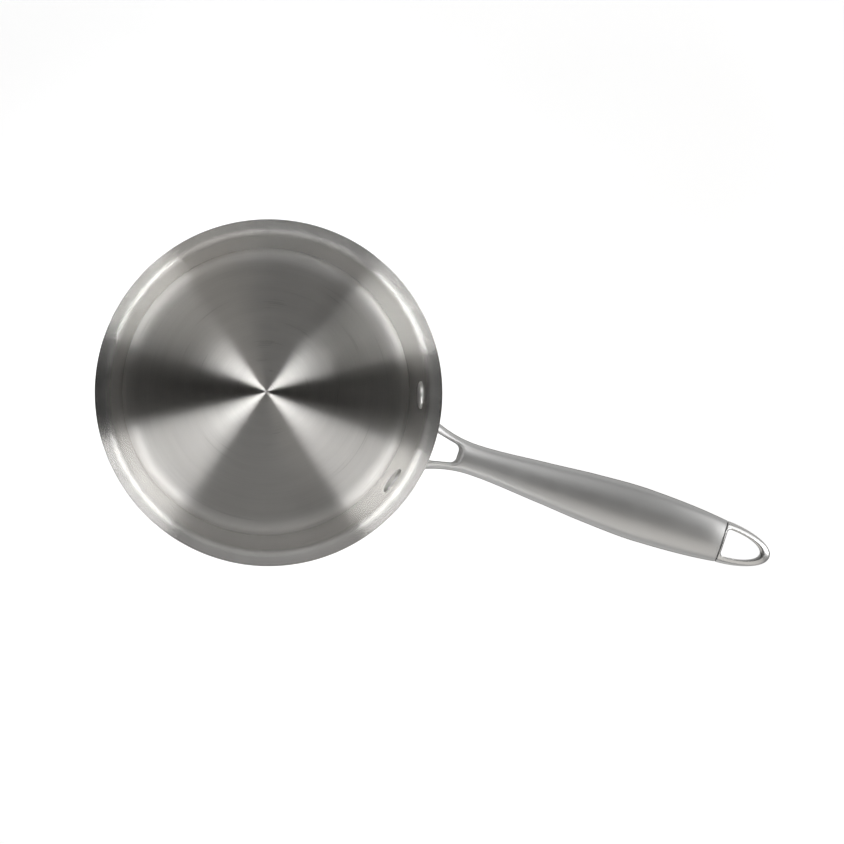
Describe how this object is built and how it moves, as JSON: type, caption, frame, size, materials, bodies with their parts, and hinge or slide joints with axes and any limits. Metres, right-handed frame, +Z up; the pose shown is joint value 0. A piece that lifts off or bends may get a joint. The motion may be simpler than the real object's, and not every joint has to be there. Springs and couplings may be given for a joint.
{
  "type": "saucepan",
  "caption": "Clad stainless saucepan with a flared pouring lip, brushed inside, forked handle riveted to the wall, hollow oval grip and hanging loop.",
  "frame": {"origin": "centre of the underside of the base", "axes": "+Z up along the pan's axis, out of its mouth; +X along the handle; +Y across it"},
  "size_m": [0.3621, 0.177, 0.0866],
  "materials": {
    "cooking_steel": "brushed in rings",
    "core_aluminium": "cut edge",
    "outer_steel": "polished",
    "handle_steel": "satin blasted",
    "loop_steel": "polished",
    "rivet_steel": "polished"
  },
  "bodies": {
    "root": {"cooking_liner": "cooking_steel", "aluminium_core": "core_aluminium", "outer_shell": "outer_steel", "handle_bracket": "handle_steel", "grip_upper_half": "handle_steel", "grip_lower_half": "handle_steel", "hanging_loop": "loop_steel", "rivet_left": "rivet_steel", "rivet_right": "rivet_steel"}
  },
  "joints": []
}
